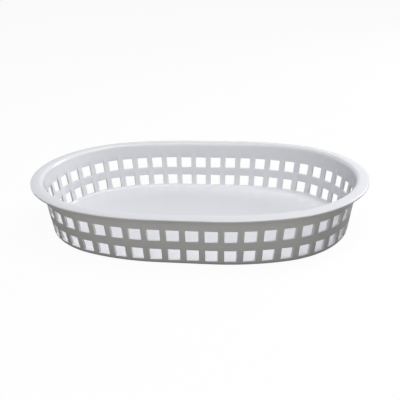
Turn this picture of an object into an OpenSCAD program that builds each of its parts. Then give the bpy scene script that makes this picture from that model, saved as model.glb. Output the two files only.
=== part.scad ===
// Oval serving basket, moulded in one piece of polypropylene.
// Origin at the middle of the underside, X along the length, Z up, sizes in millimetres.

/* [Overall] */
// Length over the edge of the rim
basket_length = 267; // [240:1:300]
// Width over the edge of the rim
basket_width = 176; // [165:1:190]
// Height from the underside to the crest of the rim
basket_height = 42.5; // [41:0.5:60]

/* [Plan] */
// Straight middle of each long side
side_straight = 40; // [20:1:60]
// Angle that each flat shoulder arc turns through, before the round ends begin
shoulder_angle = 19; // [14:0.5:24]

/* [Wall and floor] */
// Thickness of the wall and of the rim
wall_t = 1.6; // [1.4:0.1:2.4]
// Lean of the wall, outwards from the vertical, in degrees
wall_lean = 8.4; // [6:0.2:10]
// Thickness of the floor
floor_t = 2.2; // [1.6:0.1:3]
// Radius round the outside of the base
base_r = 3; // [1:0.25:4]
// Radius between the floor and the inside of the wall
floor_r = 3; // [1:0.25:4]

/* [Rim] */
// Width of the rim, from the line of the wall's inner face to the edge
rim_w = 10.2; // [9:0.2:14]
// How far in from the edge the rim's crest lies
crest_in = 7; // [5:0.2:8]
// Radius of the rim's crowned top
crown_r = 22; // [18:1:40]
// Radius over which the wall turns into the rim, on the inner side
bend_r = 3.2; // [2.8:0.1:4]

/* [Windows] */
// Windows in each row
columns = 48; // [40:4:52]
// Width of a window of the upper row, at the middle of the wall
upper_window_w = 9; // [6:0.1:9.6]
// Width of a window of the lower row
lower_window_w = 8.6; // [6:0.1:9.4]
// Height of a window
window_h = 9; // [6:0.1:10]
// Height of the lower row's middle over the underside
lower_row_z = 8.4; // [7:0.1:9]
// Height from the lower row's middle to the upper row's
row_rise = 15.9; // [15:0.1:17]
// How much each side of a window opens towards the outside, in degrees
jamb_draft = 10; // [0:1:12]
// How far a window's pocket is let into the inner face above it
pocket_depth = 0.75; // [0.3:0.05:1]

/* [Hidden] */
$fn = 96;
// How far a cutter runs past the face that it opens
over = 1;
// Flats in each round of the section
corner_steps = 5;
crown_steps = 4;
bead_steps = 8;
// How far the shoulder's floor runs past the middle line, so that no seam lies on it
floor_past = 12;
// Key inside the wall at the seam between shoulder and end: its depth under the faces, and its reach to each side
key_under = 0.1;
key_turn = 0.5;

// Plan of the rim's edge, for one quarter: a straight, a flat shoulder arc and a round end arc, all tangent
straight_x = side_straight / 2;
end_share = 1 - sin(shoulder_angle);
plan_x = basket_length / 2 - straight_x;
plan_y = basket_width / 2;
plan_det = sin(shoulder_angle) * cos(shoulder_angle) - end_share * (1 - cos(shoulder_angle));
shoulder_r = (plan_x * cos(shoulder_angle) - plan_y * end_share) / plan_det;
end_r = (plan_y * sin(shoulder_angle) - plan_x * (1 - cos(shoulder_angle))) / plan_det;
shoulder_y = plan_y - shoulder_r;
end_x = basket_length / 2 - end_r;
end_turn = 90 - shoulder_angle;

// The section is drawn with its own x = 0 on the rim's edge, and its inside at negative x
lean = tan(wall_lean);
wall_flat = wall_t / cos(wall_lean);
function inner_x(z) = -rim_w + (z - basket_height) * lean;
function outer_x(z) = inner_x(z) + wall_flat;
function middle_x(z) = inner_x(z) + wall_flat / 2;

// Rounds at the base: each touches a level line and the leaning wall
corner_reach = 1 / tan((90 + wall_lean) / 2);
base_c = [outer_x(0) - base_r * corner_reach, base_r];
floor_c = [inner_x(floor_t) - floor_r * corner_reach, floor_t + floor_r];

// The rim's crown, and the bend that joins it to the wall: both touch, and the bend touches the inner face
crown_c = [-crest_in, basket_height - crown_r];
up_wall = [sin(wall_lean), cos(wall_lean)];
out_of_wall = [cos(wall_lean), -sin(wall_lean)];
bend_line = [inner_x(basket_height), basket_height] + bend_r * out_of_wall;
bend_from = bend_line - crown_c;
bend_mid = bend_from * up_wall;
bend_gap = crown_r - bend_r;
bend_up = -bend_mid + sqrt(bend_mid * bend_mid - bend_from * bend_from + bend_gap * bend_gap);
bend_c = bend_line + bend_up * up_wall;
wall_side = way(-out_of_wall);

// The bead that rounds the rim's edge
bead_r = wall_t / 2;
bead_c = [-bead_r, crown_c[1] + sqrt(pow(crown_r - bead_r, 2) - pow(crown_c[0] + bead_r, 2))];

// Direction of a vector, in degrees
function way(v) = atan2(v[1], v[0]);

// Points along an arc; an arc that carries on from another leaves out its first point
function arc(centre, r, from, to, steps, first = 0) =
    [for (i = [first : steps]) centre + r * [cos(from + (to - from) * i / steps), sin(from + (to - from) * i / steps)]];

// Section of the whole basket from the rim's edge inwards, as far as reach, with its faces moved in by under
module basket_section(reach, under = 0) {
    join = way(bend_c - crown_c);
    bead = way(bead_c - crown_c);
    polygon(concat(
        [[-reach, under]],
        arc(base_c, base_r - under, -90, -wall_lean, corner_steps),
        arc(bend_c, bend_r - wall_t + under, wall_side, join, crown_steps),
        arc(crown_c, crown_r - wall_t + under, join, bead, crown_steps, 1),
        arc(bead_c, bead_r - under, bead - 180, bead, bead_steps, 1),
        arc(crown_c, crown_r - under, bead, join, crown_steps, 1),
        arc(bend_c, bend_r - under, join, wall_side, corner_steps, 1),
        arc(floor_c, floor_r + under, -wall_lean, -90, corner_steps),
        [[-reach, floor_t - under]]
    ));
}

// Shifts by a length in two steps, whole and fraction, so that it keeps all its digits
module shift(v) {
    whole = [for (n = v) floor(n)];
    translate(whole)
        translate(v - whole)
            children();
}

// Section set out from the centre that it turns about, and cut off there
module end_section() {
    intersection() {
        shift([end_r, 0])
            basket_section(end_r + over);
        translate([0, -over])
            square([end_r + over, basket_height + 2 * over]);
    }
}

// One quarter of the basket without its windows: straight, shoulder and round end, and the key at their seam
module quarter_shell() {
    rotate([90, 0, 90])
        linear_extrude(height = straight_x)
            translate([plan_y, 0])
                basket_section(plan_y);
    shift([straight_x, shoulder_y, 0])
        rotate_extrude(start = end_turn, angle = shoulder_angle)
            shift([shoulder_r, 0])
                basket_section(plan_y + floor_past);
    shift([end_x, 0, 0])
        rotate_extrude(start = 0, angle = end_turn)
            end_section();
    shift([straight_x, shoulder_y, 0])
        rotate_extrude(start = end_turn - key_turn, angle = 2 * key_turn)
            shift([shoulder_r, 0])
                basket_section(end_r / 2, key_under);
}

// Arc lengths along a quarter of the curve that runs at x in the section
function shoulder_len(x) = (shoulder_r + x) * shoulder_angle * PI / 180;
function end_len(x) = (end_r + x) * end_turn * PI / 180;
function quarter_len(x) = straight_x + shoulder_len(x) + end_len(x);

// Moves its children to the place at length s along the quarter, with +Y pointing out of the wall
module along_quarter(s, x) {
    on_shoulder = (s - straight_x) / (shoulder_r + x) * 180 / PI;
    on_end = (s - straight_x - shoulder_len(x)) / (end_r + x) * 180 / PI;
    if (s < straight_x)
        translate([s, plan_y + x, 0]) children();
    else if (s < straight_x + shoulder_len(x))
        translate([straight_x, shoulder_y, 0])
            rotate(-on_shoulder)
                translate([0, shoulder_r + x, 0]) children();
    else
        translate([end_x, 0, 0])
            rotate(-shoulder_angle - on_end)
                translate([0, end_r + x, 0]) children();
}

// Cutter for one window and the pocket above it, about the middle of the wall at the row's height
module window_cutter(width, z) {
    top_z = z + window_h / 2;
    reach = wall_flat + over + window_h * lean;
    spread = reach * tan(jamb_draft);
    translate([0, 0, z - window_h / 2])
        linear_extrude(height = window_h)
            polygon([
                [-width / 2 - spread, reach],
                [width / 2 + spread, reach],
                [width / 2 - spread, -reach],
                [-width / 2 + spread, -reach]
            ]);
    pocket_y = inner_x(top_z) - middle_x(z) + pocket_depth;
    pocket_rise = pocket_depth / lean + over;
    pocket_w = width + 2 * pocket_y * tan(jamb_draft);
    translate([-pocket_w / 2, pocket_y - reach, top_z - over])
        cube([pocket_w, reach, pocket_rise + over]);
}

// One row of windows, evenly spaced along the quarter at the row's own height
module window_row(width, z) {
    x = middle_x(z);
    quarter_count = columns / 4;
    pitch = quarter_len(x) / quarter_count;
    for (i = [0 : quarter_count - 1])
        along_quarter((i + 0.5) * pitch, x)
            window_cutter(width, z);
}

module basket_quarter() {
    difference() {
        quarter_shell();
        window_row(lower_window_w, lower_row_z);
        window_row(upper_window_w, lower_row_z + row_rise);
    }
}

module basket() {
    color("whitesmoke")
        for (across = [0, 1], along = [0, 1])
            mirror([across, 0, 0])
                mirror([0, along, 0])
                    basket_quarter();
}

basket();
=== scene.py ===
"""Dresses an oval serving basket, moulded in one piece of white polypropylene, and sets it on a pale table.

The wall is modelled as one flat slice, as wide as one window of each row, with X along the wall, Y outwards
from it and Z up. Copies of the slice stand side by side, and their row is wrapped round the oval.
All sizes are in metres.
"""

import math

import bmesh
import bpy
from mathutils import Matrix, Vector


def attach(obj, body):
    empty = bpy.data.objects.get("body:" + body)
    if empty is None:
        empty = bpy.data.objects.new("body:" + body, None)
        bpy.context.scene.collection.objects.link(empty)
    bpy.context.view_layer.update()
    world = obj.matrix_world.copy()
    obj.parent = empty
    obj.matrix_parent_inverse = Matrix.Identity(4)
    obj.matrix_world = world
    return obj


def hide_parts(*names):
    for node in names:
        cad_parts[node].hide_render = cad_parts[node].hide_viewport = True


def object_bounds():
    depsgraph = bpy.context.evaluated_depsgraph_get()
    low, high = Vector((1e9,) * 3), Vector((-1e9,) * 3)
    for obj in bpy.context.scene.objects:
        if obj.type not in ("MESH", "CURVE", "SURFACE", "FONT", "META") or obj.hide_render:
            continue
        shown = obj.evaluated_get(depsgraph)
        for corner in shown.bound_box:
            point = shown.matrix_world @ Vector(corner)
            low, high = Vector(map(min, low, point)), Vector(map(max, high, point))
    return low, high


bl_info = {
    "name": "Oval serving basket",
    "version": (1, 0, 0),
    "blender": (4, 5, 0),
    "location": "View3D > Sidebar > Basket",
    "description": "Models a moulded oval serving basket with two rows of windows",
    "category": "Object",
}

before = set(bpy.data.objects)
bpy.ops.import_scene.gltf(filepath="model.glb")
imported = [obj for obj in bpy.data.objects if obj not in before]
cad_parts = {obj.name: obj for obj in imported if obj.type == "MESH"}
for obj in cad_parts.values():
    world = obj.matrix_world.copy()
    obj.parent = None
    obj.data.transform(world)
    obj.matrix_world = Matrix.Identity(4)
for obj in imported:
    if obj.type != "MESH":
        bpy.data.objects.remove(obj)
cad_low, cad_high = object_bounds()

MM = 0.001
WHITE = (1, 1, 1)


class BasketSizes(bpy.types.PropertyGroup):
    """Sizes and colour of the basket."""

    length: bpy.props.FloatProperty(
        name="Length", description="Length over the edge of the rim",
        default=2 * min(cad_high.x, -cad_low.x), unit="LENGTH",
    )
    width: bpy.props.FloatProperty(
        name="Width", description="Width over the edge of the rim",
        default=2 * min(cad_high.y, -cad_low.y), unit="LENGTH",
    )
    height: bpy.props.FloatProperty(
        name="Height", description="Height from the underside to the crest of the rim",
        default=cad_high.z, unit="LENGTH",
    )
    straight: bpy.props.FloatProperty(
        name="Straight", description="Straight middle of each long side", default=40 * MM, unit="LENGTH"
    )
    shoulder: bpy.props.FloatProperty(
        name="Shoulder", description="Angle that each flat shoulder arc turns through",
        default=math.radians(19), unit="ROTATION",
    )
    wall: bpy.props.FloatProperty(
        name="Wall", description="Thickness of the wall and of the rim", default=1.6 * MM, unit="LENGTH"
    )
    lean: bpy.props.FloatProperty(
        name="Lean", description="Lean of the wall outwards", default=math.radians(8.4), unit="ROTATION"
    )
    floor: bpy.props.FloatProperty(
        name="Floor", description="Thickness of the floor", default=2.2 * MM, unit="LENGTH"
    )
    corner: bpy.props.FloatProperty(
        name="Corner", description="Radius of the rounds at the base, inside and out",
        default=3 * MM, unit="LENGTH",
    )
    rim: bpy.props.FloatProperty(
        name="Rim", description="Width of the rim, from the wall's inner face to the edge",
        default=9.5 * MM, unit="LENGTH",
    )
    crest: bpy.props.FloatProperty(
        name="Crest", description="How far in from the edge the rim's crest lies",
        default=7 * MM, unit="LENGTH",
    )
    crown: bpy.props.FloatProperty(
        name="Crown", description="Radius of the rim's crowned top", default=22 * MM, unit="LENGTH"
    )
    lip: bpy.props.FloatProperty(
        name="Lip", description="How far the rim's edge is turned down", default=0.25 * MM, unit="LENGTH"
    )
    bend: bpy.props.FloatProperty(
        name="Bend", description="Inner radius of the bend from wall to rim",
        default=3.2 * MM, unit="LENGTH",
    )
    columns: bpy.props.IntProperty(name="Columns", description="Windows in each row", default=48)
    upper_window: bpy.props.FloatProperty(
        name="Upper window", description="Width of a window of the upper row",
        default=9.2 * MM, unit="LENGTH",
    )
    lower_window: bpy.props.FloatProperty(
        name="Lower window", description="Width of a window of the lower row",
        default=8.7 * MM, unit="LENGTH",
    )
    window_height: bpy.props.FloatProperty(
        name="Window height", description="Height of a window", default=9 * MM, unit="LENGTH"
    )
    lower_row: bpy.props.FloatProperty(
        name="Lower row", description="Height of the lower row's middle", default=8.15 * MM, unit="LENGTH"
    )
    row_rise: bpy.props.FloatProperty(
        name="Row rise", description="Height from the lower row's middle to the upper row's",
        default=16 * MM, unit="LENGTH",
    )
    draft: bpy.props.FloatProperty(
        name="Draft", description="How much each side of a window opens outwards",
        default=math.radians(6), unit="ROTATION",
    )
    pocket: bpy.props.FloatProperty(
        name="Pocket", description="Depth of the pocket above each window",
        default=0.75 * MM, unit="LENGTH",
    )
    warp: bpy.props.FloatProperty(
        name="Warp", description="How far the tips stand up, as those of thin mouldings do once cool",
        default=1.18 * MM, unit="LENGTH",
    )
    edge_round: bpy.props.FloatProperty(
        name="Edge round", description="Radius on the edges of the windows",
        default=0.15 * MM, unit="LENGTH",
    )
    plastic: bpy.props.FloatVectorProperty(
        name="Plastic", description="Colour of the polypropylene", subtype="COLOR", size=3,
        min=0, max=1, default=(0.808, 0.813, 0.836),
    )


class StageSettings(bpy.types.PropertyGroup):
    """Colours of the table top, and powers of the lamps."""

    table: bpy.props.FloatVectorProperty(
        name="Table", description="Colour of the table top away from the basket", subtype="COLOR", size=3,
        min=0, max=1, default=(0.42, 0.405, 0.37),
    )
    # Painted shade: the table top is coloured dark close round the basket, where the basket's shade would
    # fall, so that it throws little light back onto the lower wall
    table_painted_shade: bpy.props.FloatVectorProperty(
        name="Table near", description="Colour of the table top close round the basket",
        subtype="COLOR", size=3, min=0, max=1, default=(0.02, 0.02, 0.02),
    )
    overhead: bpy.props.FloatProperty(
        name="Overhead lamp", description="Power of the lamp above, on the right",
        default=6.0, unit="POWER",
    )
    front_high: bpy.props.FloatProperty(
        name="High front lamp", description="Power of the cool lamp above, in front",
        default=3.9, unit="POWER",
    )
    front: bpy.props.FloatProperty(
        name="Front lamp", description="Power of the lamp in front of the basket",
        default=3.2, unit="POWER",
    )
    front_low: bpy.props.FloatProperty(
        name="Low front lamp", description="Power of the warm lamp low in front",
        default=0.9, unit="POWER",
    )
    right_back: bpy.props.FloatProperty(
        name="Right back lamp", description="Power of the lamp behind on the right",
        default=6.5, unit="POWER",
    )
    left_back: bpy.props.FloatProperty(
        name="Left back lamp", description="Power of the lamp low behind on the left",
        default=0.9, unit="POWER",
    )
    room: bpy.props.FloatProperty(
        name="Room light", description="Strength of the even light of the room", default=0.005
    )


class Oval:
    """Plan of the rim's edge: in each quarter a straight, a shoulder arc and an end arc, all tangent."""

    def __init__(self, sizes):
        turn = sizes.shoulder
        self.straight = sizes.straight / 2
        self.turn = turn
        self.half_length = sizes.length / 2
        self.half_width = sizes.width / 2
        reach = self.half_length - self.straight
        end_share = 1 - math.sin(turn)
        det = math.sin(turn) * math.cos(turn) - end_share * (1 - math.cos(turn))
        self.shoulder_r = (reach * math.cos(turn) - self.half_width * end_share) / det
        self.end_r = (self.half_width * math.sin(turn) - reach * (1 - math.cos(turn))) / det

    def shoulder_length(self, out):
        return (self.shoulder_r + out) * self.turn

    def quarter_length(self, out):
        return self.straight + self.shoulder_length(out) + (self.end_r + out) * (math.pi / 2 - self.turn)

    def quarter_place(self, along, out):
        """Point at a length along the first quarter, on the curve that lies out from the rim's edge."""
        if along < self.straight:
            return along, self.half_width + out
        along -= self.straight
        if along < self.shoulder_length(out):
            radius = self.shoulder_r + out
            angle = along / radius
            return (
                self.straight + radius * math.sin(angle),
                self.half_width - self.shoulder_r + radius * math.cos(angle),
            )
        radius = self.end_r + out
        angle = self.turn + (along - self.shoulder_length(out)) / radius
        return self.half_length - self.end_r + radius * math.sin(angle), radius * math.cos(angle)

    def place(self, share, out):
        """Point at a share of the whole way round, from the middle of the far side towards +X."""
        quarter = self.quarter_length(out)
        along = (share % 1) * 4 * quarter
        number = min(int(along / quarter), 3)
        along -= number * quarter
        if number % 2:
            along = quarter - along
        x, y = self.quarter_place(along, out)
        return (x if number in (0, 1) else -x), (y if number in (0, 3) else -y)


# Flats in each round of the section
FLOOR_STEPS = 6
SILL_STEPS = 2
BEND_STEPS = 10
CROWN_STEPS = 6
BEAD_STEPS = 5
LIP_STEPS = 8
UNDER_STEPS = 4
OUTER_BEND_STEPS = 5
BASE_STEPS = 7
# Length of the flat between a round and the next line of points, which keeps the shading of each apart
FLAT = 0.6 * MM


class Section:
    """Outline of the basket cut across the wall, from the floor up, over the rim and down to the base.

    Each point is (out, z), with out = 0 on the rim's edge and negative towards the inside. The numbers of
    the points that bound the floor, the windows and the pockets are kept by name in levels.
    """

    def __init__(self, sizes):
        self.sizes = sizes
        self.slope = math.tan(sizes.lean)
        self.flat = sizes.wall / math.cos(sizes.lean)
        self.upper_row = sizes.lower_row + sizes.row_rise
        self.pocket_rise = sizes.pocket / self.slope
        self.points = []
        self.levels = {}
        self.draw()

    def inner(self, z):
        return -self.sizes.rim + (z - self.sizes.height) * self.slope

    def outer(self, z):
        return self.inner(z) + self.flat

    def middle(self, z):
        return self.inner(z) + self.flat / 2

    def add(self, out, z, level=None):
        if level:
            self.levels[level] = len(self.points)
        self.points.append((out, z))

    def add_arc(self, centre, radius, start, stop, steps, first=0):
        """Adds the points of an arc; one that carries on from another leaves out its first point."""
        for i in range(first, steps + 1):
            angle = start + (stop - start) * i / steps
            self.add(centre[0] + radius * math.cos(angle), centre[1] + radius * math.sin(angle))

    def rows(self):
        """Sill and lintel heights of the lower and of the upper windows."""
        half = self.sizes.window_height / 2
        lower, upper = self.sizes.lower_row, self.upper_row
        return (lower - half, lower + half), (upper - half, upper + half)

    def draw(self):
        s = self.sizes
        half_pi = math.pi / 2
        (sill, lintel), (upper_sill, upper_lintel) = self.rows()

        # Rounds at the base, each of which touches a level line and the leaning wall
        corner_reach = 1 / math.tan((half_pi + s.lean) / 2)
        floor_c = (self.inner(s.floor) - s.corner * corner_reach, s.floor + s.corner)
        base_c = (self.outer(0) - s.corner * corner_reach, s.corner)
        sill_turn = math.asin((sill - floor_c[1]) / s.corner)

        # Crown of the rim, and the bend that touches it and the wall's inner face
        crown_c = (-s.crest, s.height - s.crown)
        line = (
            self.inner(s.height) + s.bend * math.cos(s.lean) - crown_c[0],
            s.height - s.bend * math.sin(s.lean) - crown_c[1],
        )
        up = (math.sin(s.lean), math.cos(s.lean))
        mid = line[0] * up[0] + line[1] * up[1]
        rise = -mid + math.sqrt(mid**2 - line[0] ** 2 - line[1] ** 2 + (s.crown - s.bend) ** 2)
        bend_c = (crown_c[0] + line[0] + rise * up[0], crown_c[1] + line[1] + rise * up[1])
        join = math.atan2(bend_c[1] - crown_c[1], bend_c[0] - crown_c[0])
        side = math.pi - s.lean

        # Bead that rounds the rim's edge, its turned down lip, and the underside of the crown
        bead = s.wall / 2
        bead_c = (-bead, crown_c[1] + math.sqrt((s.crown - bead) ** 2 - (crown_c[0] + bead) ** 2))
        edge = math.atan2(bead_c[1] - crown_c[1], bead_c[0] - crown_c[0])
        lip_c = (-bead, bead_c[1] - s.lip)
        under = s.crown - s.wall
        lip_side = math.acos((-s.wall - crown_c[0]) / under)

        self.add(floor_c[0] - 2 * FLAT, s.floor, "floor")
        self.add_arc(floor_c, s.corner, -half_pi, sill_turn, FLOOR_STEPS)
        self.levels["in lower sill"] = len(self.points) - 1
        self.add_arc(floor_c, s.corner, sill_turn, -s.lean, SILL_STEPS, 1)
        for z, level in (
            (s.corner + s.floor + FLAT, None),
            (s.lower_row, None),
            (lintel, "in lower lintel"),
            (lintel + self.pocket_rise / 2, "lower pocket"),
            (lintel + self.pocket_rise, "lower pocket top"),
            (upper_sill, "in upper sill"),
            (self.upper_row, None),
            (upper_lintel, "in upper lintel"),
            (upper_lintel + self.pocket_rise / 2, "upper pocket"),
            (upper_lintel + self.pocket_rise, "upper pocket top"),
            (bend_c[1] + s.bend * math.sin(s.lean) - FLAT, None),
        ):
            self.add(self.inner(z), z, level)
        self.add_arc(bend_c, s.bend, side, join, BEND_STEPS)
        self.add_arc(crown_c, s.crown, join, edge, CROWN_STEPS, 1)
        self.add_arc(bead_c, bead, edge, 0, BEAD_STEPS, 1)
        self.add_arc(lip_c, bead, 0, -math.pi, LIP_STEPS)
        self.add_arc(crown_c, under, lip_side, join, UNDER_STEPS)
        self.add_arc(bend_c, s.bend - s.wall, join, side, OUTER_BEND_STEPS, 1)
        for z, level in (
            (bend_c[1] - FLAT, None),
            (upper_lintel, "out upper lintel"),
            (self.upper_row, None),
            (upper_sill, "out upper sill"),
            (lintel, "out lower lintel"),
            (s.lower_row, None),
            (sill, "out lower sill"),
        ):
            self.add(self.outer(z), z, level)
        self.add_arc(base_c, s.corner, -s.lean, -half_pi, BASE_STEPS)
        self.add(base_c[0] - 2 * FLAT, 0, "base")


# Points nearer to each other than this are merged
MERGE = 0.01 * MM


def make_active(piece):
    bpy.ops.object.select_all(action="DESELECT")
    piece.select_set(True)
    bpy.context.view_layer.objects.active = piece


def edit(piece):
    """Opens a piece in edit mode with nothing selected."""
    make_active(piece)
    bpy.ops.object.mode_set(mode="EDIT")
    bpy.ops.mesh.select_mode(type="VERT")
    bpy.ops.mesh.select_all(action="DESELECT")


def close_edit():
    bpy.ops.object.mode_set(mode="OBJECT")


def merge_doubles():
    bpy.ops.mesh.select_all(action="SELECT")
    bpy.ops.mesh.remove_doubles(threshold=MERGE)


def select(piece, kind, test):
    """Selects those faces or edges of the mesh in edit mode that pass a test."""
    mesh = bmesh.from_edit_mesh(piece.data)
    bpy.ops.mesh.select_mode(type=kind)
    bpy.ops.mesh.select_all(action="DESELECT")
    for part in mesh.faces if kind == "FACE" else mesh.edges:
        if test(part):
            part.select_set(True)
    bmesh.update_edit_mesh(piece.data)


def apply_modifier(piece, kind, **settings):
    """Adds a modifier to a piece, sets it and applies it."""
    make_active(piece)
    modifier = piece.modifiers.new(kind.title(), kind)
    for name, value in settings.items():
        setattr(modifier, name, value)
    bpy.ops.object.modifier_apply(modifier=modifier.name)


# Lines across one slice, as shares of its width from its middle: half a bar, a window and half a bar
JAMB = 0.335
SLICE_SIDE = 0.5
SLICE_LINES = (-SLICE_SIDE, -0.418, -JAMB, -0.17, 0, 0.17, JAMB, 0.418, SLICE_SIDE)
# Shares of the slice's width, from its middle, within which the faces of a window, the edges of its sill
# and lintel, and the edges that get a round have their middles, and between which a jamb's points lie
WINDOW_FACES = 0.3
SILL_EDGES = 0.35
ROUNDED_EDGES = 0.42
JAMB_FROM = 0.2
JAMB_TO = 0.45
# The lines run straight below the first height, and from the second over a pocket's top
STRAIGHT_BELOW = 2 * MM
STRAIGHT_OVER = MM
# An edge that spans less than this along the wall runs up it, and one as near to a window belongs to it
SLACK = 0.2 * MM
# Edges of the windows that turn by more than this get a round, of so many steps
SHARP = math.radians(40)
ROUND_STEPS = 2


class Slice:
    """One flat slice of the basket, one window wide, as it is modelled before the wrapping."""

    def __init__(self, sizes, oval, section):
        self.sizes = sizes
        self.oval = oval
        self.section = section
        self.width = self.pitch(section.middle(section.upper_row))

    def pitch(self, out):
        """Width of a slice on the curve that lies out from the rim's edge."""
        return 4 * self.oval.quarter_length(out) / self.sizes.columns

    def jamb_share(self, out, z):
        """Where the side of a window lies at a point of the section, as a share of the slice's width."""
        s = self.sizes
        section = self.section
        (_, lower_lintel), (upper_sill, _) = section.rows()
        lower = s.lower_window / 2 + (out - section.middle(s.lower_row)) * math.tan(s.draft)
        upper = s.upper_window / 2 + (out - section.middle(section.upper_row)) * math.tan(s.draft)
        lower /= self.pitch(out)
        upper /= self.pitch(out)
        blend = (z - lower_lintel - section.pocket_rise) / (upper_sill - lower_lintel)
        return lower + (upper - lower) * min(max(blend, 0), 1)

    def line_share(self, number, out, z):
        """Where a line of the slice runs, at a point of the section: on the jambs beside the windows."""
        share = SLICE_LINES[number]
        pockets_top = self.section.rows()[1][1] + self.section.pocket_rise
        if z > pockets_top + STRAIGHT_OVER or z < STRAIGHT_BELOW:
            return share
        jamb = self.jamb_share(out, z)
        if abs(share) <= JAMB:
            return share * jamb / JAMB
        bar = (abs(share) - JAMB) / (SLICE_SIDE - JAMB)
        return math.copysign(jamb + (SLICE_SIDE - jamb) * bar, share)

    def draw_outline(self):
        """A ring of points is drawn onto the section, and cut open where the floor goes on."""
        points, levels = self.section.points, self.section.levels
        bpy.ops.object.select_all(action="DESELECT")
        bpy.ops.mesh.primitive_circle_add(
            vertices=len(points), radius=self.sizes.height / 2, fill_type="NOTHING"
        )
        piece = bpy.context.object
        piece.name = "basket_moulding"
        piece.data.name = "basket_moulding"
        level = piece.data.attributes.new("level", "INT", "POINT")
        for i, (vertex, (out, z)) in enumerate(zip(piece.data.vertices, points)):
            vertex.co = (-SLICE_SIDE * self.width, out, z)
            level.data[i].value = i
        edit(piece)
        ends = {levels["floor"], levels["base"]}
        select(piece, "EDGE", lambda e: {v.index for v in e.verts} == ends)
        bpy.ops.mesh.delete(type="EDGE_FACE")
        close_edit()
        return piece

    def extrude_lines(self, piece):
        """The outline is extruded along the slice, line by line, and each line is set to its place."""
        edit(piece)
        bpy.ops.mesh.select_all(action="SELECT")
        for a, b in zip(SLICE_LINES, SLICE_LINES[1:]):
            step = (b - a) * self.width
            bpy.ops.mesh.extrude_region_move(TRANSFORM_OT_translate={"value": (step, 0, 0)})
        mesh = bmesh.from_edit_mesh(piece.data)
        for v in mesh.verts:
            number = min(range(len(SLICE_LINES)), key=lambda i: abs(SLICE_LINES[i] * self.width - v.co.x))
            v.co.x = self.line_share(number, v.co.y, v.co.z) * self.width
        bmesh.update_edit_mesh(piece.data)
        close_edit()

    def level_of(self, piece):
        return bmesh.from_edit_mesh(piece.data).verts.layers.int["level"]

    def between(self, piece, low, high):
        """A test for faces that lie between two levels of the section and between the jambs."""
        first, last = sorted((self.section.levels[low], self.section.levels[high]))
        level = self.level_of(piece)

        def test(face):
            if any(not first <= v[level] <= last for v in face.verts):
                return False
            return abs(face.calc_center_median().x) < WINDOW_FACES * self.width

        return test

    def press_pocket(self, piece, row):
        """The inner face above a window is extruded and pressed out, fading upwards to nothing."""
        lintel_name, top_name = "in %s lintel" % row, "%s pocket top" % row
        levels, deep = self.section.levels, self.sizes.pocket
        lintel, middle, top = levels[lintel_name], levels["%s pocket" % row], levels[top_name]
        depth = {lintel: deep, middle: deep / 2, top: 0}
        edit(piece)
        select(piece, "FACE", self.between(piece, lintel_name, top_name))
        bpy.ops.mesh.extrude_region_move(TRANSFORM_OT_translate={"value": (0, 0, 0)})
        level = self.level_of(piece)
        mesh = bmesh.from_edit_mesh(piece.data)
        for v in mesh.verts:
            if v.select:
                v.co.y += depth[v[level]]
        bmesh.update_edit_mesh(piece.data)
        merge_doubles()
        level = self.level_of(piece)
        select(piece, "FACE", lambda face: all(v[level] == lintel for v in face.verts))
        bpy.ops.mesh.delete(type="ONLY_FACE")
        close_edit()

    def open_window(self, piece, row):
        """Inner and outer face are opened, and sill, lintel and both jambs are filled in."""
        levels = self.section.levels
        low, high = levels["in %s sill" % row], levels["in %s lintel" % row]
        out_low, out_high = levels["out %s sill" % row], levels["out %s lintel" % row]
        edit(piece)
        for side in ("in", "out"):
            sill, lintel = "%s %s sill" % (side, row), "%s %s lintel" % (side, row)
            select(piece, "FACE", self.between(piece, sill, lintel))
            bpy.ops.mesh.delete(type="FACE")
        level = self.level_of(piece)
        for pair in ({low, out_low}, {high, out_high}):

            def on_sill_or_lintel(e):
                if not e.is_boundary or any(v[level] not in pair for v in e.verts):
                    return False
                if abs(e.verts[0].co.x - e.verts[1].co.x) < SLACK:
                    return False
                return abs(sum(v.co.x for v in e.verts) / 2) <= SILL_EDGES * self.width

            select(piece, "EDGE", on_sill_or_lintel)
            bpy.ops.mesh.bridge_edge_loops()
        for side in (-1, 1):

            def on_jamb(e):
                if not e.is_boundary or any(abs(v.co.x) > JAMB_TO * self.width for v in e.verts):
                    return False
                if any(v.co.x * side <= JAMB_FROM * self.width for v in e.verts):
                    return False
                values = [v[level] for v in e.verts]
                inside = all(low <= n <= high for n in values)
                outside = all(out_high <= n <= out_low for n in values)
                across = set(values) in ({low, out_low}, {high, out_high})
                return inside or outside or across

            select(piece, "EDGE", on_jamb)
            bpy.ops.mesh.edge_face_add()
        close_edit()

    def round_edges(self, piece):
        """The sharp edges of the windows get a small round, but not the fading sides of the pockets."""
        edit(piece)
        rows = self.section.rows()

        def sharp(e):
            if len(e.link_faces) != 2 or e.calc_face_angle(0) < SHARP:
                return False
            middle = (e.verts[0].co + e.verts[1].co) / 2
            if abs(middle.x) > ROUNDED_EDGES * self.width:
                return False
            return any(sill - SLACK < middle.z < lintel + SLACK for sill, lintel in rows)

        select(piece, "EDGE", sharp)
        bpy.ops.mesh.bevel(
            offset=self.sizes.edge_round, segments=ROUND_STEPS, affect="EDGES", clamp_overlap=True
        )
        close_edit()


def wrap_round(piece, sizes, oval, slice_width):
    """The row of slices is wrapped round the oval, each height on its own way round."""
    whole = sizes.columns * slice_width
    for vertex in piece.data.vertices:
        out, z = vertex.co.y, vertex.co.z
        share = (vertex.co.x + slice_width / 2) / whole
        x, y = oval.place(share, out)
        vertex.co = (x, y, z)


# The floor and the underside are cut into strips, so many to half the length over the rim, as far out as the
# last cut that meets them
FLOOR_STRIPS = 14
LAST_CUT = 12
# How near to the floor a point of it lies, and the least area of a face of it that is still to be cut
ON_FLOOR = 0.05 * MM
UNCUT_AREA = 50 * MM * MM


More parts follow.
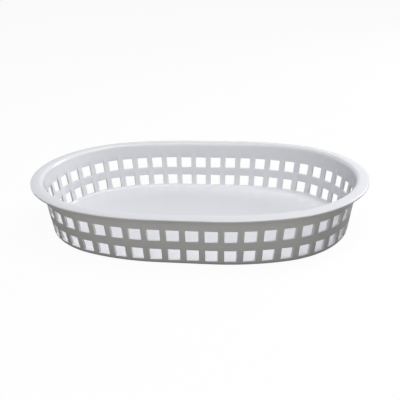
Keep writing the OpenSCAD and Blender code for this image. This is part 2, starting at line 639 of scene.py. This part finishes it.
def close_floor(piece, floor, half_length):
    """The last ring of the floor and that of the underside are filled flat and cut into strips."""
    for height in (floor, 0):

        def open_ring(e):
            return e.is_boundary and all(abs(v.co.z - height) < ON_FLOOR for v in e.verts)

        def uncut(face):
            return face.calc_area() > UNCUT_AREA and abs(face.calc_center_median().z - height) < ON_FLOOR

        edit(piece)
        select(piece, "EDGE", open_ring)
        bpy.ops.mesh.edge_face_add()
        for i in range(-LAST_CUT, LAST_CUT + 1):
            select(piece, "FACE", uncut)
            bpy.ops.mesh.bisect(plane_co=(i * half_length / FLOOR_STRIPS, 0, 0), plane_no=(1, 0, 0))
        close_edit()


def warp(piece, rise, half_length):
    """The tips rise a little over the middle."""
    for vertex in piece.data.vertices:
        vertex.co.z += rise * (vertex.co.x / half_length) ** 2


# Faces that meet at less than this angle are shaded as one
SMOOTH = math.radians(35)


def mould_basket(sizes):
    """Models the whole basket as one closed shell."""
    oval = Oval(sizes)
    section = Section(sizes)
    one = Slice(sizes, oval, section)
    piece = one.draw_outline()
    one.extrude_lines(piece)
    for row in ("lower", "upper"):
        one.press_pocket(piece, row)
        one.open_window(piece, row)
    one.round_edges(piece)
    apply_modifier(
        piece, "ARRAY", count=sizes.columns, use_relative_offset=False, use_constant_offset=True,
        constant_offset_displace=(one.width, 0, 0),
    )
    wrap_round(piece, sizes, oval, one.width)
    edit(piece)
    merge_doubles()
    close_edit()
    close_floor(piece, sizes.floor, oval.half_length)
    warp(piece, sizes.warp, oval.half_length)
    edit(piece)
    bpy.ops.mesh.select_all(action="SELECT")
    bpy.ops.mesh.normals_make_consistent(inside=False)
    close_edit()
    bpy.ops.object.shade_smooth_by_angle(angle=SMOOTH)
    apply_modifier(piece, "WEIGHTED_NORMAL", keep_sharp=True)
    return piece


def new_material(name):
    """A new material: itself, its nodes, its links, its surface shader and the Object coordinates."""
    material = bpy.data.materials.new(name)
    material.use_nodes = True
    nodes = material.node_tree.nodes
    where = nodes.new("ShaderNodeTexCoord")
    return material, nodes, material.node_tree.links, nodes["Principled BSDF"], where.outputs["Object"]


def new_node(nodes, kind, values, **settings):
    """Adds a node, makes its settings, and then gives its inputs their values by name or number."""
    node = nodes.new(kind)
    for name, value in settings.items():
        setattr(node, name, value)
    for name, value in values.items():
        node.inputs[name].default_value = value
    return node


# Refraction of polypropylene, the ripple that the mould leaves on it, and the unevenness of its gloss
REFRACTION = 1.49
RIPPLE = {"Scale": 160, "Detail": 3}
RIPPLE_HEIGHT = {"Strength": 0.05, "Distance": 0.2 * MM}
HAZE = {"Scale": 24, "Detail": 5}
HAZE_TO_ROUGHNESS = {"From Min": 0.3, "From Max": 0.7, "To Min": 0.2, "To Max": 0.25}


def white_polypropylene(colour):
    """Glossy moulded plastic with a faint ripple from the mould and a little unevenness in its gloss."""
    material, nodes, links, shader, where = new_material("white_polypropylene")
    shader.inputs["Base Color"].default_value = (*colour, 1)
    shader.inputs["IOR"].default_value = REFRACTION
    ripple = new_node(nodes, "ShaderNodeTexNoise", RIPPLE)
    links.new(where, ripple.inputs["Vector"])
    bump = new_node(nodes, "ShaderNodeBump", RIPPLE_HEIGHT)
    links.new(ripple.outputs["Fac"], bump.inputs["Height"])
    links.new(bump.outputs["Normal"], shader.inputs["Normal"])
    haze = new_node(nodes, "ShaderNodeTexNoise", HAZE)
    links.new(where, haze.inputs["Vector"])
    roughness = new_node(nodes, "ShaderNodeMapRange", HAZE_TO_ROUGHNESS)
    links.new(haze.outputs["Fac"], roughness.inputs["Value"])
    links.new(roughness.outputs["Result"], shader.inputs["Roughness"])
    return material


def seen_directly(nodes, links, camera=1.0, gloss=1.0):
    """Camera ray or not, and the share of white that the camera, gloss and glass see.

    It is 0 for the light that falls on things.
    """
    rays = nodes.new("ShaderNodeLightPath")
    total = None
    shares = {"Is Camera Ray": camera, "Is Glossy Ray": gloss, "Is Transmission Ray": gloss}
    for name, share in shares.items():
        part = new_node(nodes, "ShaderNodeMath", {1: share}, operation="MULTIPLY")
        links.new(rays.outputs[name], part.inputs[0])
        if total is None:
            total = part
            continue
        both = new_node(nodes, "ShaderNodeMath", {}, operation="MAXIMUM")
        links.new(total.outputs[0], both.inputs[0])
        links.new(part.outputs[0], both.inputs[1])
        total = both
    return rays.outputs["Is Camera Ray"], total.outputs[0]


# Half length and half width of the oval on which the table's painted shade starts to fade into its own
# colour, and how many times larger the one is on which it ends
SHADED_X = 0.12
SHADED_Y = 0.075
SHADE_ENDS = 2.2
# How white the table looks to the camera, and in gloss
TABLE_SEEN = 0.95
TABLE_IN_GLOSS = 0.3
TABLE_ROUGHNESS = 0.9
TABLE_SIZE = 8
# Sockets of the Mix node where it mixes colours
FACTOR, FROM, TO, MIXED = 0, 6, 7, 2


def pale_table(near, away):
    """Matt table top that looks white where it is seen, and keeps the shadow of what stands on it.

    Close round the basket its colour is painted dark, a painted shade where the basket's shade would fall,
    so that it throws little light back there, and more away from it.
    """
    material, nodes, links, matt, where = new_material("pale_table")
    matt.inputs["Roughness"].default_value = TABLE_ROUGHNESS
    matt.inputs["Specular IOR Level"].default_value = 0.0
    glow = new_node(nodes, "ShaderNodeEmission", {"Color": (*WHITE, 1), "Strength": 1.0})
    # Painted shade: the colour that light falling on the table sees goes from the dark near colour close
    # round the basket to the table's own colour away from it
    shrink = (1 / SHADED_X, 1 / SHADED_Y, 0)
    oval = new_node(nodes, "ShaderNodeVectorMath", {1: shrink}, operation="MULTIPLY")
    links.new(where, oval.inputs[0])
    distance = new_node(nodes, "ShaderNodeVectorMath", {}, operation="LENGTH")
    links.new(oval.outputs[0], distance.inputs[0])
    painted_shade_fade = new_node(nodes, "ShaderNodeMapRange", {"From Min": 1.0, "From Max": SHADE_ENDS})
    links.new(distance.outputs["Value"], painted_shade_fade.inputs["Value"])
    painted_shade_tone = new_node(nodes, "ShaderNodeMix", {}, data_type="RGBA")
    painted_shade_tone.inputs[FROM].default_value = (*near, 1)
    painted_shade_tone.inputs[TO].default_value = (*away, 1)
    links.new(painted_shade_fade.outputs["Result"], painted_shade_tone.inputs[FACTOR])
    camera, share = seen_directly(nodes, links, TABLE_SEEN, TABLE_IN_GLOSS)
    top = new_node(nodes, "ShaderNodeMix", {}, data_type="RGBA")
    top.inputs[TO].default_value = (*WHITE, 1)
    links.new(painted_shade_tone.outputs[MIXED], top.inputs[FROM])
    links.new(camera, top.inputs[FACTOR])
    links.new(top.outputs[MIXED], matt.inputs["Base Color"])
    mix = nodes.new("ShaderNodeMixShader")
    links.new(share, mix.inputs[0])
    links.new(matt.outputs[0], mix.inputs[1])
    links.new(glow.outputs[0], mix.inputs[2])
    links.new(mix.outputs[0], nodes["Material Output"].inputs["Surface"])
    return material


def room_light(strength):
    """World: white where it is seen, and a faint even light on things."""
    world = bpy.data.worlds.new("room")
    bpy.context.scene.world = world
    world.use_nodes = True
    nodes, links = world.node_tree.nodes, world.node_tree.links
    even = nodes["Background"]
    even.inputs["Color"].default_value = (*WHITE, 1)
    even.inputs["Strength"].default_value = strength
    white = new_node(nodes, "ShaderNodeBackground", {"Color": (*WHITE, 1), "Strength": 1.0})
    mix = nodes.new("ShaderNodeMixShader")
    _, share = seen_directly(nodes, links)
    links.new(share, mix.inputs[0])
    links.new(even.outputs[0], mix.inputs[1])
    links.new(white.outputs[0], mix.inputs[2])
    links.new(mix.outputs[0], nodes["World Output"].inputs["Surface"])


# Each lamp's name, which is also that of its power in the settings, its place, size and tint
COOL = (0.88, 0.91, 1)
WARM = (1, 0.93, 0.72)
LAMPS = (
    ("overhead", (0.4, 0, 1.1), 0.6, WHITE),
    ("front_high", (0, -0.35, 1.15), 0.6, COOL),
    ("front", (0, -1.1, 0.6), 0.7, WHITE),
    ("front_low", (0, -1.25, 0.2), 0.4, WARM),
    ("right_back", (0.85, 0.75, 0.5), 0.6, WHITE),
    ("left_back", (-0.95, 0.6, 0.17), 0.3, WHITE),
)
# Point in the middle of the basket that all the lamps look at
LAMP_AIM = (0, 0, 0.02)


def add_lamp(name, place, size, tint, power):
    """A square soft lamp that looks at the basket."""
    bpy.ops.object.light_add(type="AREA", location=place)
    lamp = bpy.context.object
    lamp.name = name
    lamp.data.size = size
    lamp.data.energy = power
    lamp.data.color = tint
    lamp.rotation_euler = (Vector(LAMP_AIM) - Vector(place)).to_track_quat("-Z", "Y").to_euler()


# Camera: place, turn in degrees, sensor's width and focal length in millimetres, shift, and nearest view
CAMERA_PLACE = (0.06797, -0.45684, 0.21407)
CAMERA_TURN = (67.098, 2.079, 8.726)
CAMERA_SENSOR = 36
CAMERA_LENS = 55.45
CAMERA_SHIFT = (0.03526, 0.00066)
CAMERA_NEAREST = 0.01


def add_camera():
    """Camera at the photograph's place: 23 degrees above the table, a little to the right of the middle."""
    turn = [math.radians(angle) for angle in CAMERA_TURN]
    bpy.ops.object.camera_add(location=CAMERA_PLACE, rotation=turn)
    camera = bpy.context.object
    camera.name = "camera"
    camera.data.sensor_width = CAMERA_SENSOR
    camera.data.lens = CAMERA_LENS
    camera.data.shift_x, camera.data.shift_y = CAMERA_SHIFT
    camera.data.clip_start = CAMERA_NEAREST
    bpy.context.scene.camera = camera


class BASKET_OT_mould(bpy.types.Operator):
    """Models the basket in one piece and puts it in place of its plain solid"""

    bl_idname = "basket.mould"
    bl_label = "Mould the basket"

    def execute(self, context):
        sizes = context.scene.basket_sizes
        piece = mould_basket(sizes)
        piece.data.materials.append(white_polypropylene(sizes.plastic))
        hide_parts("basket")
        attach(piece, "root")
        return {"FINISHED"}


class BASKET_OT_stage(bpy.types.Operator):
    """Lays the table top, hangs the lamps and sets the camera"""

    bl_idname = "basket.stage"
    bl_label = "Set the stage"

    def execute(self, context):
        stage = context.scene.basket_stage
        bpy.ops.object.select_all(action="DESELECT")
        bpy.ops.mesh.primitive_plane_add(size=TABLE_SIZE, location=(0, 0, 0))
        table = context.object
        table.name = "table_top"
        table.data.materials.append(pale_table(stage.table_painted_shade, stage.table))
        for name, place, size, tint in LAMPS:
            add_lamp(name + "_lamp", place, size, tint, getattr(stage, name))
        room_light(stage.room)
        add_camera()
        context.scene.view_settings.view_transform = "Standard"
        return {"FINISHED"}


class BASKET_PT_panel(bpy.types.Panel):
    """Lists the basket's operators and sizes"""

    bl_label = "Oval serving basket"
    bl_idname = "BASKET_PT_panel"
    bl_space_type = "VIEW_3D"
    bl_region_type = "UI"
    bl_category = "Basket"

    def draw(self, context):
        layout = self.layout
        for settings in (context.scene.basket_sizes, context.scene.basket_stage):
            box = layout.box()
            for name in settings.__annotations__:
                box.prop(settings, name)
        layout.operator(BASKET_OT_mould.bl_idname)
        layout.operator(BASKET_OT_stage.bl_idname)


CLASSES = (BasketSizes, StageSettings, BASKET_OT_mould, BASKET_OT_stage, BASKET_PT_panel)


def register():
    for cls in CLASSES:
        bpy.utils.register_class(cls)
    bpy.types.Scene.basket_sizes = bpy.props.PointerProperty(type=BasketSizes)
    bpy.types.Scene.basket_stage = bpy.props.PointerProperty(type=StageSettings)


def unregister():
    del bpy.types.Scene.basket_stage
    del bpy.types.Scene.basket_sizes
    for cls in reversed(CLASSES):
        bpy.utils.unregister_class(cls)


def main():
    register()
    bpy.ops.basket.stage()
    bpy.ops.basket.mould()


if __name__ == "__main__":
    main()
